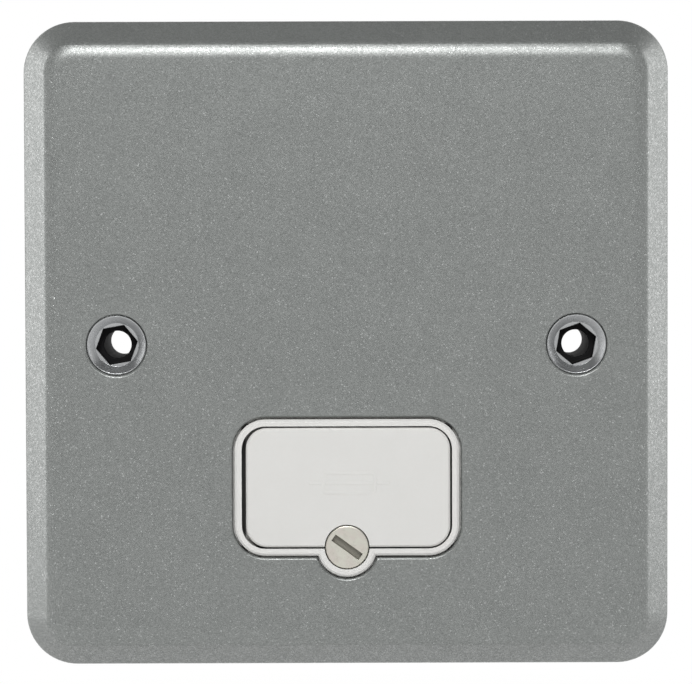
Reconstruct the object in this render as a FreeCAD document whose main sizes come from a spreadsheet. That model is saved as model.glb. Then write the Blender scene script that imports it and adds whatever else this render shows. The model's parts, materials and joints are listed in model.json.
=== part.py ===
import FreeCAD, Part
import math
import os
import re

import PartDesign
import Sketcher

# Fused spur unit. X runs to the right as seen from the front, Z up, and the front looks along -Y.
# The origin lies midway between the two fixing holes, on the plane of the plate's rear rim.
# A level is a distance in front of that plane, so what lies behind it has a negative level.

# Driving dimensions, in millimetres and degrees.
SIZES = {
    # Front plate, pressed from one sheet
    "plate_side": 85.0,
    "plate_corner": 6.7,
    "sheet_steel": 1.2,
    "skirt_height": 2.1,
    "bevel_width": 3.4,
    "bevel_height": 4.4,
    "fold_radius": 1.6,
    "window_gap": 0.25,
    "window_edge": 0.4,
    "hole_edge": 0.5,
    # Fixing cups and bushes
    "fixing_spacing": 60.3,
    "cup_diameter": 7.76,
    "cup_gap": 0.06,
    "cup_sunk": 0.1,
    "cup_land": 0.12,
    "cup_depth": 1.05,
    "cup_floor_diameter": 5.7,
    "cup_flange_thick": 0.5,
    "hex_across": 4.8,
    "hex_recess": 1.2,
    "left_hex_turn": 10.0,
    "right_hex_turn": 20.0,
    "bush_diameter": 9.2,
    "bush_shoulder_depth": 3.0,
    "bush_nose_diameter": 6.2,
    "bush_nose_depth": 10.5,
    "fixing_hole_diameter": 3.6,
    "bush_fit": 0.05,
    # Base moulding
    "body_width": 56.0,
    "body_height": 60.0,
    "body_drop": 1.5,
    "body_corner": 3.0,
    "split_depth": 7.5,
    "wing_radius": 6.2,
    "wing_depth": 4.0,
    "rear_rim": 1.6,
    # Frame in the window
    "frame_drop": 18.75,
    "frame_width": 29.4,
    "frame_height": 17.9,
    "frame_corner": 4.0,
    "frame_wall": 0.9,
    "frame_proud": 0.4,
    "frame_edge": 0.3,
    "bulge_wall": 0.95,
    # Fuse carrier
    "carrier_gap_side": 0.4,
    "carrier_gap_top": 0.2,
    "carrier_shift": 0.15,
    "carrier_corner": 2.8,
    "carrier_edge": 0.25,
    "lid_sunk": 0.1,
    "lid_thick": 3.3,
    "lid_skin": 1.6,
    "lid_wall": 1.2,
    "seat_gap": 0.1,
    "cradle_height": 8.2,
    "cradle_end_gap": 0.15,
    "cradle_reach": 2.4,
    "cradle_fit": 0.1,
    "cradle_mouth": 5.6,
    # Cartridge fuse
    "fuse_length": 25.4,
    "fuse_diameter": 6.35,
    "ceramic_diameter": 5.9,
    "cap_length": 5.75,
    "fuse_depth": 1.5,
    "chamber_side_gap": 0.5,
    "chamber_height": 9.8,
    "chamber_floor": 1.4,
    # Carrier screw, its ring and its insert
    "screw_head_diameter": 5.7,
    "screw_head_height": 1.5,
    "screw_head_sunk": 0.05,
    "screw_head_edge": 0.15,
    "screw_head_gap": 0.1,
    "screw_seat_gap": 0.1,
    "screw_slot_length": 4.35,
    "screw_slot_width": 0.95,
    "screw_slot_depth": 0.8,
    "screw_slot_turn": -36.0,
    "screw_neck_diameter": 2.5,
    "screw_groove_diameter": 2.0,
    "screw_thread_diameter": 3.0,
    "screw_thread_length": 4.6,
    "screw_fit": 0.05,
    "screw_travel": 4.6,
    "ear_gap": 0.2,
    "ear_hole_diameter": 3.2,
    "ring_diameter": 4.2,
    "ring_thick": 0.6,
    "ring_fit": 0.04,
    "ring_slit": 1.4,
    "ring_bore_gap": 0.15,
    "insert_across": 4.2,
    "insert_length": 4.4,
    "insert_fit": 0.02,
    # Spring jaws
    "jaw_width": 4.4,
    "jaw_sheet": 0.6,
    "jaw_fit": 0.075,
    "jaw_bend": 1.0,
    "jaw_throat": 1.6,
    "jaw_flare_reach": 1.6,
    "jaw_flare_rise": 0.75,
    "jaw_window_gap": 0.2,
    # Links
    "strip_thick": 0.8,
    "strip_width": 3.5,
    "strip_bend": 1.4,
    "strap_width": 6.0,
    "strap_foot": 8.0,
    "strap_fit": 0.2,
    "link_gap": 1.2,
    # Terminals
    "block_width": 8.0,
    "block_length": 10.0,
    "block_depth": 8.4,
    "block_floor": 1.6,
    "block_edge": 0.4,
    "block_fit": 0.1,
    "conductor_bore": 4.2,
    "clamp_thread": 3.4,
    "clamp_fit": 0.05,
    "clamp_back_off": 0.1,
    "clamp_travel": 3.2,
    "clamp_head_diameter": 5.4,
    "clamp_head_height": 1.6,
    "clamp_slot_width": 0.9,
    "clamp_slot_depth": 0.9,
    "upper_rim": 3.5,
    "lower_rim": 4.5,
    "line_rim": 4.0,
    "earth_column": 7.0,
    "load_rim": 2.0,
    # Rear cover and the screws that hold it
    "cover_depth": 13.5,
    "cover_edge": 0.8,
    "cover_notch_gap": 1.2,
    "access_gap": 0.4,
    "access_lip": 0.8,
    "entry_side": 5.4,
    "core_width": 22.0,
    "core_height": 22.0,
    "core_depth": 10.0,
    "hold_rim": 8.0,
    "hold_gap": 4.0,
    "hold_thread": 3.0,
    "hold_hole": 3.3,
    "hold_head_diameter": 5.5,
    "hold_head_height": 1.8,
    "hold_head_depth": 1.2,
    "hold_bite": 3.0,
    "boss_across": 6.0,
    "boss_height": 4.0,
    "boss_gap": 0.2,
    # How far a cut runs on past the face where it comes out
    "cut_past": 1.0,
}

# Sizes and levels that follow from the driving dimensions.
WORKED_OUT = {
    "face_level": "skirt_height + bevel_height",
    "inside_level": "face_level - sheet_steel",
    "fixing_x": "fixing_spacing / 2",
    "cup_radius": "cup_diameter / 2",
    "cup_front": "face_level - cup_sunk",
    "cup_back": "inside_level - cup_flange_thick",
    "hex_corner": "hex_across / 2 / cos(30)",
    "frame_front": "face_level + frame_proud",
    "frame_inner_width": "frame_width - 2 * frame_wall",
    "frame_inner_height": "frame_height - 2 * frame_wall",
    "carrier_width": "frame_inner_width - 2 * carrier_gap_side",
    "carrier_height": "frame_inner_height - 2 * carrier_gap_top",
    "lid_front": "frame_front - lid_sunk",
    "lid_back": "lid_front - lid_thick",
    "seat_level": "lid_back - seat_gap",
    "screw_z": "0 - frame_drop - carrier_height / 2",
    "screw_head_front": "lid_front - screw_head_sunk",
    "screw_head_back": "screw_head_front - screw_head_height",
    "recess_radius": "screw_head_diameter / 2 + screw_head_gap",
    "bulge_radius": "recess_radius + bulge_wall",
    "ear_front": "screw_head_back - screw_seat_gap",
    "ring_front": "lid_back - screw_travel - screw_seat_gap",
    "ring_back": "ring_front - ring_thick",
    "thread_front": "ring_back - screw_seat_gap",
    "thread_back": "thread_front - screw_thread_length",
    "split_level": "0 - split_depth",
    "strip_front": "split_level + strip_thick",
    "jaw_front": "strip_front + jaw_sheet",
    "floor_level": "strip_front + chamber_floor",
    "insert_front": "strip_front + insert_length",
    "ring_bore_radius": "ring_diameter / 2 + ring_bore_gap",
    "fuse_end": "fuse_length / 2",
    "cap_inner_end": "fuse_end - cap_length",
    "jaw_x": "fuse_end - cap_length / 2",
    "jaw_inner": "fuse_diameter / 2 + jaw_fit",
    "jaw_outer": "jaw_inner + jaw_sheet",
    "chamber_width": "fuse_length + 2 * chamber_side_gap",
    "cradle_width": "2 * (cap_inner_end - cradle_end_gap)",
    "cradle_back": "0 - fuse_depth - cradle_reach",
    "body_bottom": "0 - body_drop - body_height / 2",
    "body_top": "body_height / 2 - body_drop",
    "upper_row": "body_top - upper_rim - block_length / 2",
    "lower_row": "0 - body_bottom - lower_rim - block_length / 2",
    "line_column": "body_width / 2 - line_rim - block_width / 2",
    "load_column": "body_width / 2 - load_rim - block_width / 2",
    "hold_column": "body_width / 2 - hold_rim",
    "hold_row": "upper_row - block_length / 2 - hold_gap",
    "block_back": "split_level - block_depth",
    "bore_centre": "split_depth + block_floor + conductor_bore / 2",
    "clamp_tip": "bore_centre + conductor_bore / 2 + clamp_back_off",
    "clamp_head_seat": "split_depth + block_depth + clamp_travel + 2 * clamp_back_off",
    "cover_back": "split_level - cover_depth",
    "strip_up_x": "0 - line_column + block_width / 2 + strip_width / 2",
    "hold_seat": "cover_back + hold_head_height + hold_head_depth",
    "hold_tip": "inside_level - boss_height + hold_bite",
    "wing_inner_x": "fixing_x - wing_radius",
    "strap_leg_z": "upper_row - block_length / 2 - strip_thick / 2",
    "crossing_x": "0 - strip_width - insert_across / 2 - link_gap",
}

# Two places closer than this are one place.
NEAR = 1e-4

doc = FreeCAD.newDocument("fused_spur_unit")
sheet = doc.addObject("Spreadsheet::Sheet", "Sizes")
for row, (alias, size) in enumerate(SIZES.items(), start=1):
    sheet.set(f"A{row}", alias)
    sheet.set(f"B{row}", str(size))
    sheet.setAlias(f"B{row}", alias)
doc.recompute()


def formula(text):
    """The same formula with every size read from the sheet."""

    def named(match):
        word = match.group(0)
        if word in WORKED_OUT:
            return f"({formula(WORKED_OUT[word])})"
        return f"Sizes.{word}" if word in SIZES else word

    return re.sub(r"[a-z][a-z_]+", named, str(text))


def number(text):
    return float(sheet.evalExpression(formula(text)))


# Outlines. A point is (x, y), or (x, y, radius, side) where an arc of that radius leads to it
# from the point before, with its centre on that side of the way. An entry ("close", radius, side)
# at the end makes the way back to the first point an arc too.


def rounded(x, y, width, height, corner):
    left, right = f"{x} - ({width}) / 2", f"{x} + ({width}) / 2"
    low, high = f"{y} - ({height}) / 2", f"{y} + ({height}) / 2"
    return [
        (f"{left} + {corner}", low),
        (f"{right} - ({corner})", low),
        (right, f"{low} + {corner}", corner, "left"),
        (right, f"{high} - ({corner})"),
        (f"{right} - ({corner})", high, corner, "left"),
        (f"{left} + {corner}", high),
        (left, f"{high} - ({corner})", corner, "left"),
        (left, f"{low} + {corner}"),
        ("close", corner, "left"),
    ]


def box(x, y, width, height):
    left, right = f"{x} - ({width}) / 2", f"{x} + ({width}) / 2"
    low, high = f"{y} - ({height}) / 2", f"{y} + ({height}) / 2"
    return [(left, low), (right, low), (right, high), (left, high)]


def turned_box(x, y, width, height, turn):
    along, across = f"({width}) / 2", f"({height}) / 2"
    return [
        (
            f"{x} + {i} * {along} * cos({turn}) - {j} * {across} * sin({turn})",
            f"{y} + {i} * {along} * sin({turn}) + {j} * {across} * cos({turn})",
        )
        for i, j in ((-1, -1), (1, -1), (1, 1), (-1, 1))
    ]


def hexagon(x, y, corner, turn):
    return [
        (f"{x} + {corner} * cos({turn} + {step})", f"{y} + {corner} * sin({turn} + {step})")
        for step in range(0, 360, 60)
    ]


def circle(x, y, radius):
    return ("circle", x, y, radius)


def bind(sketch, kind, *places_and_value):
    """Add a constraint whose value is the formula given last."""
    *places, text = places_and_value
    index = sketch.addConstraint(Sketcher.Constraint(kind, *places, number(text)))
    sketch.setExpression(f"Constraints[{index}]", formula(text))


def draw_circle(sketch, x, y, radius):
    centre = FreeCAD.Vector(number(x), number(y), 0)
    up = FreeCAD.Vector(0, 0, 1)
    index = sketch.addGeometry(Part.Circle(centre, up, number(radius)))
    bind(sketch, "DistanceX", -1, 1, index, 3, x)
    bind(sketch, "DistanceY", -1, 1, index, 3, y)
    bind(sketch, "Radius", index, radius)


def arc_between(start, end, radius, side):
    """An arc from start to end, and whether it runs from start to end counterclockwise."""
    middle = (start + end) / 2
    chord = end - start
    rise = math.sqrt(max(radius**2 - (chord.Length / 2) ** 2, 0.0))
    normal = FreeCAD.Vector(-chord.y, chord.x, 0).normalize()
    centre = middle + normal * (rise if side == "left" else -rise)
    round_edge = Part.Circle(centre, FreeCAD.Vector(0, 0, 1), radius)
    first, last = (start, end) if side == "left" else (end, start)
    angles = [math.atan2(p.y - centre.y, p.x - centre.x) for p in (first, last)]
    if angles[1] < angles[0]:
        angles[1] += 2 * math.pi
    return Part.ArcOfCircle(round_edge, *angles), side == "left"


def draw_loop(sketch, points):
    """A closed outline with every corner held by formulas."""
    closing = None
    if points[-1][0] == "close":
        closing = points[-1][1:]
        points = points[:-1]
    spots = [FreeCAD.Vector(number(p[0]), number(p[1]), 0) for p in points]
    arcs = [p[2:] for p in points[1:]] + [closing or ()]
    ends = []
    for i, arc in enumerate(arcs):
        start, end = spots[i], spots[(i + 1) % len(spots)]
        if arc:
            edge, forward = arc_between(start, end, number(arc[0]), arc[1])
        else:
            edge, forward = Part.LineSegment(start, end), True
        index = sketch.addGeometry(edge)
        ends.append((index, 1 if forward else 2, 2 if forward else 1))
    for this, following in zip(ends, ends[1:] + ends[:1]):
        place = (this[0], this[2], following[0], following[1])
        sketch.addConstraint(Sketcher.Constraint("Coincident", *place))
    for (index, start, _), point in zip(ends, points):
        bind(sketch, "DistanceX", -1, 1, index, start, point[0])
        bind(sketch, "DistanceY", -1, 1, index, start, point[1])
    for (index, _, _), arc in zip(ends, arcs):
        if arc:
            bind(sketch, "Radius", index, arc[0])


pieces = []


class Piece:
    """One separate piece of the unit, built up from sketches on its own origin planes.

    On the plane XZ a sketch shows X and Z, and a pad rises to the front.
    On XY it shows X and Y and rises upwards. On YZ it shows Y and Z and rises to the right.
    """

    def __init__(self, label):
        self.body = doc.addObject("PartDesign::Body", label)
        self.body.Label = label
        self.body.AllowCompound = True
        self.steps = 0
        pieces.append(self)

    def sketch(self, plane, origin, *shapes):
        self.steps += 1
        name = f"{self.body.Label}_outline_{self.steps}"
        drawing = self.body.newObject("Sketcher::SketchObject", name)
        features = self.body.Origin.OriginFeatures
        support = next(f for f in features if f.Role == f"{plane}_Plane")
        drawing.AttachmentSupport = [(support, "")]
        drawing.MapMode = "FlatFace"
        for axis, text in zip("xyz", origin):
            drawing.setExpression(f"AttachmentOffset.Base.{axis}", formula(text))
        for shape in shapes:
            if shape[0] == "circle":
                draw_circle(drawing, *shape[1:])
            else:
                draw_loop(drawing, shape)
        doc.recompute()
        return drawing

    def feature(self, kind, drawing, settings, bound, grows):
        before = self.body.Shape.Volume if self.body.Tip else 0.0
        self.steps += 1
        made = self.body.newObject(f"PartDesign::{kind}", f"{self.body.Label}_{kind}_{self.steps}")
        if drawing:
            made.Profile = drawing
        for name, setting in settings.items():
            setattr(made, name, setting)
        for name, text in bound.items():
            made.setExpression(name, formula(text))
        doc.recompute()
        change = self.body.Shape.Volume - before
        if change <= 0 if grows else change >= 0:
            raise ValueError(f"{made.Name} changed the volume by {change}")
        return made

    def pad(self, drawing, length, back=False, middle=False):
        settings = {"Reversed": back, "Midplane": middle}
        return self.feature("Pad", drawing, settings, {"Length": length}, True)

    def pocket(self, drawing, depth, forward=False, middle=False):
        settings = {"Reversed": forward, "Midplane": middle}
        return self.feature("Pocket", drawing, settings, {"Length": depth}, False)

    def revolve(self, drawing, axis="V_Axis"):
        settings = {"ReferenceAxis": (drawing, [axis]), "Angle": 360}
        return self.feature("Revolution", drawing, settings, {}, True)

    def edges(self, test):
        shape = self.body.Shape
        return [f"Edge{i}" for i, edge in enumerate(shape.Edges, start=1) if test(edge.BoundBox)]

    def faces(self, test):
        shape = self.body.Shape
        return [f"Face{i}" for i, face in enumerate(shape.Faces, start=1) if test(face.BoundBox)]

    def fillet(self, test, radius):
        base = (self.body.Tip, self.edges(test))
        return self.feature("Fillet", None, {"Base": base}, {"Radius": radius}, False)

    def chamfer(self, test, size):
        base = (self.body.Tip, self.edges(test))
        return self.feature("Chamfer", None, {"Base": base}, {"Size": size}, False)


def at_level(text, reach=None):
    """A test for edges or faces that lie flat on a level, within reach of the Y axis if given."""
    depth = -number(text)
    limit = number(reach) if reach else math.inf

    def test(bounds):
        flat = abs(bounds.YMin - depth) < NEAR and abs(bounds.YMax - depth) < NEAR
        return flat and max(abs(bounds.XMin), abs(bounds.XMax)) < limit

    return test


def lengthways(bounds):
    """A test for straight edges along Y."""
    return bounds.XLength < NEAR and bounds.ZLength < NEAR


# Front plate


def front_plate():
    plate = Piece("front_plate")
    outline = rounded("0", "0", "plate_side", "plate_side", "plate_corner")
    plate.pad(plate.sketch("XZ", ("0", "0", "0"), outline), "face_level")
    bevel = {"Base": (plate.body.Tip, plate.edges(at_level("face_level")))}
    bevel["ChamferType"] = "Two distances"
    bevel_sizes = {"Size": "bevel_height", "Size2": "bevel_width"}
    plate.feature("Chamfer", None, bevel, bevel_sizes, False)
    hollow = {"Base": (plate.body.Tip, plate.faces(at_level("0"))), "Reversed": True}
    plate.feature("Thickness", None, hollow, {"Value": "sheet_steel"}, False)
    plate.fillet(at_level("face_level"), "fold_radius")
    window = rounded(
        "0",
        "0 - frame_drop",
        "frame_width + 2 * window_gap",
        "frame_height + 2 * window_gap",
        "(frame_corner + window_gap)",
    )
    face = ("0", "0", "face_level")
    plate.pocket(plate.sketch("XZ", face, window), "sheet_steel + cut_past")
    bulge = circle("0", "screw_z", "bulge_radius + window_gap")
    plate.pocket(plate.sketch("XZ", face, bulge), "sheet_steel + cut_past")
    plate.chamfer(at_level("face_level", "frame_width"), "window_edge")
    holes = [circle(f"{side} * fixing_x", "0", "cup_radius + cup_gap") for side in (-1, 1)]
    plate.pocket(plate.sketch("XZ", face, *holes), "sheet_steel + cut_past")
    is_on_face = at_level("face_level")
    hole_size = number("2 * (cup_radius + cup_gap)")
    plate.chamfer(lambda b: is_on_face(b) and abs(b.ZLength - hole_size) < NEAR, "hole_edge")


def hold_places():
    """Column and row of the two screws that hold cover, base and plate together."""
    return [(f"{side} * hold_column", f"0 - {side} * hold_row") for side in (-1, 1)]


def plate_bosses():
    bosses = Piece("plate_bosses")
    level = ("0", "0", "inside_level")
    posts = [hexagon(x, z, "boss_across / 2 / cos(30)", "30") for x, z in hold_places()]
    bosses.pad(bosses.sketch("XZ", level, *posts), "boss_height", back=True)
    holes = [circle(x, z, "hold_thread / 2 + screw_fit") for x, z in hold_places()]
    back = ("0", "0", "inside_level - boss_height")
    bosses.pocket(bosses.sketch("XZ", back, *holes), "hold_bite + screw_seat_gap", forward=True)


# Fixing cups and bushes


def fixing_cup(label, side, turn):
    """A dished eyelet: a flange behind the plate, a short collar and a bowl with a hexagon in it."""
    cup = Piece(label)
    front, back = "0 - cup_front", "0 - cup_back"
    profile = [
        ("cup_radius", front),
        ("cup_radius", "0 - inside_level"),
        ("bush_diameter / 2", "0 - inside_level"),
        ("bush_diameter / 2", back),
        ("0", back),
        ("0", "cup_depth - face_level"),
        ("cup_floor_diameter / 2", "cup_depth - face_level"),
        ("cup_radius - cup_land", front),
    ]
    cup.revolve(cup.sketch("XY", (f"{side} * fixing_x", "0", "0"), profile))
    opening = hexagon(f"{side} * fixing_x", "0", "hex_corner", turn)
    depth = "face_level - cup_back + cut_past"
    cup.pocket(cup.sketch("XZ", ("0", "0", "face_level"), opening), depth)


def fixing_bush(label, side, turn):
    """A black bush that the fixing screw passes through, with a hexagonal mouth."""
    bush = Piece(label)
    front = "0 - cup_back"
    profile = [
        ("fixing_hole_diameter / 2", front),
        ("bush_diameter / 2", front),
        ("bush_diameter / 2", "bush_shoulder_depth"),
        ("bush_nose_diameter / 2", "bush_shoulder_depth"),
        ("bush_nose_diameter / 2", "bush_nose_depth"),
        ("fixing_hole_diameter / 2", "bush_nose_depth"),
    ]
    bush.revolve(bush.sketch("XY", (f"{side} * fixing_x", "0", "0"), profile))
    mouth = hexagon(f"{side} * fixing_x", "0", "hex_corner", turn)
    bush.pocket(bush.sketch("XZ", ("0", "0", "cup_back"), mouth), "hex_recess")


# Terminals: name, column and row of each, and the way its conductor leaves


TERMINALS = {
    "supply_live": ("0 - line_column", "upper_row", 1),
    "supply_neutral": ("line_column", "upper_row", 1),
    "supply_earth": ("0 - earth_column", "upper_row", 1),
    "load_earth": ("earth_column", "upper_row", 1),
    "load_live": ("0 - load_column", "0 - lower_row", -1),
    "load_neutral": ("load_column", "0 - lower_row", -1),
}


def terminal_block(label, x, z):
    block = Piece(label)
    outline = box(x, z, "block_width", "block_length")
    block.pad(block.sketch("XZ", ("0", "0", "split_level"), outline), "block_depth", back=True)
    block.chamfer(lengthways, "block_edge")
    bore = circle(x, "bore_centre", "conductor_bore / 2")
    length = "block_length + 2 * cut_past"
    block.pocket(block.sketch("XY", ("0", "0", z), bore), length, middle=True)
    thread = circle(x, z, "clamp_thread / 2 + clamp_fit")
    depth = "block_depth - block_floor - conductor_bore / 2"
    block.pocket(block.sketch("XZ", ("0", "0", "block_back"), thread), depth, forward=True)


def terminal_screw(label, x, z):
    screw = Piece(label)
    shank, head = "clamp_thread / 2", "clamp_head_diameter / 2"
    top = "clamp_head_seat + clamp_head_height"
    profile = [
        ("0", "clamp_tip"),
        (shank, "clamp_tip"),
        (shank, "clamp_head_seat"),
        (head, "clamp_head_seat"),
        (head, top),
        ("0", top),
    ]
    screw.revolve(screw.sketch("XY", (x, "0", z), profile))
    slot = box(x, z, "clamp_head_diameter + cut_past", "clamp_slot_width")
    rear = ("0", "0", f"0 - ({top})")
    screw.pocket(screw.sketch("XZ", rear, slot), "clamp_slot_depth", forward=True)


# Base moulding


def base_moulding():
    base = Piece("base_moulding")
    front = ("0", "0", "inside_level")
    outline = rounded("0", "0 - body_drop", "body_width", "body_height", "body_corner")
    base.pad(base.sketch("XZ", front, outline), "inside_level + split_depth", back=True)
    wings = box("0", "0", "fixing_spacing", "2 * wing_radius")
    base.pad(base.sketch("XZ", front, wings), "inside_level + wing_depth", back=True)
    tips = [circle(f"{side} * fixing_x", "0", "wing_radius") for side in (-1, 1)]
    base.pad(base.sketch("XZ", front, *tips), "inside_level + wing_depth", back=True)

    frame = rounded("0", "0 - frame_drop", "frame_width", "frame_height", "frame_corner")
    base.pad(base.sketch("XZ", front, frame), "frame_front - inside_level")
    bulge = circle("0", "screw_z", "bulge_radius")
    base.pad(base.sketch("XZ", front, bulge), "frame_front - inside_level")
    base.chamfer(at_level("frame_front"), "frame_edge")

    frame_top = ("0", "0", "frame_front")
    opening = rounded(
        "0",
        "0 - frame_drop",
        "frame_inner_width",
        "frame_inner_height",
        "(frame_corner - frame_wall)",
    )
    base.pocket(base.sketch("XZ", frame_top, opening), "frame_front - seat_level")
    recess = circle("0", "screw_z", "recess_radius")
    base.pocket(base.sketch("XZ", frame_top, recess), "frame_front - seat_level")

    seat = ("0", "0", "seat_level")
    chamber = box("0", "0 - frame_drop", "chamber_width", "chamber_height")
    base.pocket(base.sketch("XZ", seat, chamber), "seat_level - floor_level")
    ring_bore = circle("0", "screw_z", "ring_bore_radius")
    base.pocket(base.sketch("XZ", seat, ring_bore), "seat_level - insert_front")
    windows = [
        box(
            f"{side} * jaw_x",
            "0 - frame_drop",
            "jaw_width + 2 * jaw_window_gap",
            "chamber_height",
        )
        for side in (-1, 1)
    ]
    base.pocket(base.sketch("XZ", seat, *windows), "seat_level - split_level + cut_past")

    rear = ("0", "0", "split_level")
    insert_room = hexagon("0", "screw_z", "(insert_across / 2 + insert_fit) / cos(30)", "30")
    base.pocket(base.sketch("XZ", rear, insert_room), "insert_front - split_level", forward=True)
    strip_room = rounded(
        "0",
        "0 - body_drop",
        "body_width - 2 * rear_rim",
        "body_height - 2 * rear_rim",
        "(body_corner - rear_rim)",
    )
    base.pocket(base.sketch("XZ", rear, strip_room), "strip_thick", forward=True)

    bush_radius = "bush_diameter / 2 + bush_fit"
    bush_bores = [circle(f"{side} * fixing_x", "0", bush_radius) for side in (-1, 1)]
    base.pocket(base.sketch("XZ", front, *bush_bores), "inside_level + bush_shoulder_depth")
    nose_radius = "bush_nose_diameter / 2 + bush_fit"
    nose_bores = [circle(f"{side} * fixing_x", "0", nose_radius) for side in (-1, 1)]
    through = "inside_level + split_depth + cut_past"
    base.pocket(base.sketch("XZ", front, *nose_bores), through)

    boss_corner = "(boss_across / 2 + boss_gap) / cos(30)"
    boss_rooms = [hexagon(x, z, boss_corner, "30") for x, z in hold_places()]
    base.pocket(base.sketch("XZ", front, *boss_rooms), "boss_height + boss_gap")
    hold_holes = [circle(x, z, "hold_hole / 2") for x, z in hold_places()]
    base.pocket(base.sketch("XZ", front, *hold_holes), through)

    leg_slot = box(
        "0",
        "strap_leg_z + (strip_bend - strip_thick) / 2",
        "strap_width + 2 * strap_fit",
        "strip_bend + 2 * strap_fit",
    )
    base.pocket(base.sketch("XZ", front, leg_slot), through)
    foot_room = box(
        "0",
        "strap_leg_z + strip_thick / 2 - strap_foot / 2",
        "strap_width + 2 * strap_fit",
        "strap_foot + 2 * strap_fit",
    )
    base.pocket(base.sketch("XZ", front, foot_room), "strip_thick")


# Rear cover


def rear_cover():
    cover = Piece("rear_cover")
    front = ("0", "0", "split_level")
    rear = ("0", "0", "cover_back")
    outline = rounded("0", "0 - body_drop", "body_width", "body_height", "body_corner")
    cover.pad(cover.sketch("XZ", front, outline), "cover_depth", back=True)
    notch_width = "body_width / 2 + cut_past - wing_inner_x + cover_notch_gap"
    notches = [
        box(
            f"{side} * (body_width / 2 + cut_past - ({notch_width}) / 2)",
            "0",
            notch_width,
            "2 * (wing_radius + cover_notch_gap)",
        )
        for side in (-1, 1)
    ]
    cover.pocket(cover.sketch("XZ", front, *notches), "cover_depth + cut_past")
    cover.chamfer(at_level("cover_back"), "cover_edge")

    rooms = [
        box(x, z, "block_width + 2 * block_fit", "block_length + 2 * block_fit")
        for x, z, _ in TERMINALS.values()
    ]
    cover.pocket(cover.sketch("XZ", front, *rooms), "block_depth + block_fit")
    access_width, access_length = "block_width - 2 * access_lip", "block_length - 2 * access_lip"
    access = [box(x, z, access_width, access_length) for x, z, _ in TERMINALS.values()]
    cover.pocket(cover.sketch("XZ", rear, *access), "cover_depth - block_depth", forward=True)
    upper = [x for x, _, way in TERMINALS.values() if way > 0]
    lower = [x for x, _, way in TERMINALS.values() if way < 0]
    top_entries = [box(x, "bore_centre", "entry_side", "entry_side") for x in upper]
    top = cover.sketch("XY", ("0", "0", "body_top"), *top_entries)
    cover.pocket(top, "body_top - upper_row")
    low_entries = [box(x, "bore_centre", "entry_side", "entry_side") for x in lower]
    bottom = cover.sketch("XY", ("0", "0", "body_bottom"), *low_entries)
    cover.pocket(bottom, "0 - lower_row - body_bottom", forward=True)

    holes = [circle(x, z, "hold_hole / 2") for x, z in hold_places()]
    cover.pocket(cover.sketch("XZ", front, *holes), "cover_depth + cut_past")
    head_rooms = [circle(x, z, "hold_head_diameter / 2 + access_gap") for x, z in hold_places()]
    depth = "hold_seat - cover_back"
    cover.pocket(cover.sketch("XZ", rear, *head_rooms), depth, forward=True)
    core = rounded("0", "0", "core_width", "core_height", "body_corner")
    cover.pocket(cover.sketch("XZ", front, core), "core_depth")


def base_screws():
    screws = Piece("base_screws")
    seat = ("0", "0", "hold_seat")
    shanks = [circle(x, z, "hold_thread / 2") for x, z in hold_places()]
    screws.pad(screws.sketch("XZ", seat, *shanks), "hold_tip - hold_seat")
    heads = [circle(x, z, "hold_head_diameter / 2") for x, z in hold_places()]
    screws.pad(screws.sketch("XZ", seat, *heads), "hold_head_height", back=True)
    slot_length = "hold_head_diameter + cut_past"
    slots = [box(x, z, slot_length, "clamp_slot_width") for x, z in hold_places()]
    rear = ("0", "0", "hold_seat - hold_head_height")
    screws.pocket(screws.sketch("XZ", rear, *slots), "clamp_slot_depth", forward=True)


# Fuse carrier and fuse


def fuse_carrier():
    carrier = Piece("fuse_carrier")
    lid = rounded(
        "carrier_shift",
        "0 - frame_drop",
        "carrier_width",
        "carrier_height",
        "carrier_corner",
    )
    carrier.pad(carrier.sketch("XZ", ("0", "0", "lid_back"), lid), "lid_thick")
    carrier.chamfer(at_level("lid_front"), "carrier_edge")
    lid_front = ("0", "0", "lid_front")
    notch = circle("0", "screw_z", "recess_radius")
    carrier.pocket(carrier.sketch("XZ", lid_front, notch), "lid_front - ear_front")
    rooms = [
        box(
            f"carrier_shift + {side} * ({room_x})",
            "0 - frame_drop",
            room_width,
            "chamber_height - 2 * lid_wall",
        )
        for side in (-1, 1)
        for room_x, room_width in [lid_room()]
    ]
    lid_back = ("0", "0", "lid_back")
    carrier.pocket(carrier.sketch("XZ", lid_back, *rooms), "lid_thick - lid_skin", forward=True)
    ear = circle("0", "screw_z", "recess_radius - ear_gap")
    carrier.pad(carrier.sketch("XZ", lid_back, ear), "ear_front - lid_back")
    ear_hole = circle("0", "screw_z", "ear_hole_diameter / 2")
    carrier.pocket(carrier.sketch("XZ", ("0", "0", "ear_front"), ear_hole), "lid_thick")

    cradle = box("0", "0 - frame_drop", "cradle_width", "cradle_height")
    carrier.pad(carrier.sketch("XZ", lid_back, cradle), "lid_back - cradle_back", back=True)
    fuse_axis = ("fuse_depth", "0 - frame_drop", "0")
    trough = circle("0", "0", "ceramic_diameter / 2 + cradle_fit")
    length = "cradle_width + 2 * cut_past"
    carrier.pocket(carrier.sketch("YZ", fuse_axis, trough), length, middle=True)
    mouth = box("(cradle_reach + cut_past) / 2", "0", "cradle_reach + cut_past", "cradle_mouth")
    carrier.pocket(carrier.sketch("YZ", fuse_axis, mouth), length, middle=True)


def lid_room():
    """Centre and width of the hollow beside the cradle, inside the lid's back."""
    inner = "cradle_width / 2 + lid_wall"
    outer = "carrier_width / 2 - lid_wall"
    return f"(({inner}) + ({outer})) / 2", f"({outer}) - ({inner})"


def fuse_tube():
    """The ceramic body, as far as it shows between the caps: the fuse is sealed."""
    tube = Piece("fuse_tube")
    ceramic = circle("fuse_depth", "0 - frame_drop", "ceramic_diameter / 2")
    tube.pad(tube.sketch("YZ", ("0", "0", "0"), ceramic), "2 * cap_inner_end", middle=True)


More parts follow.
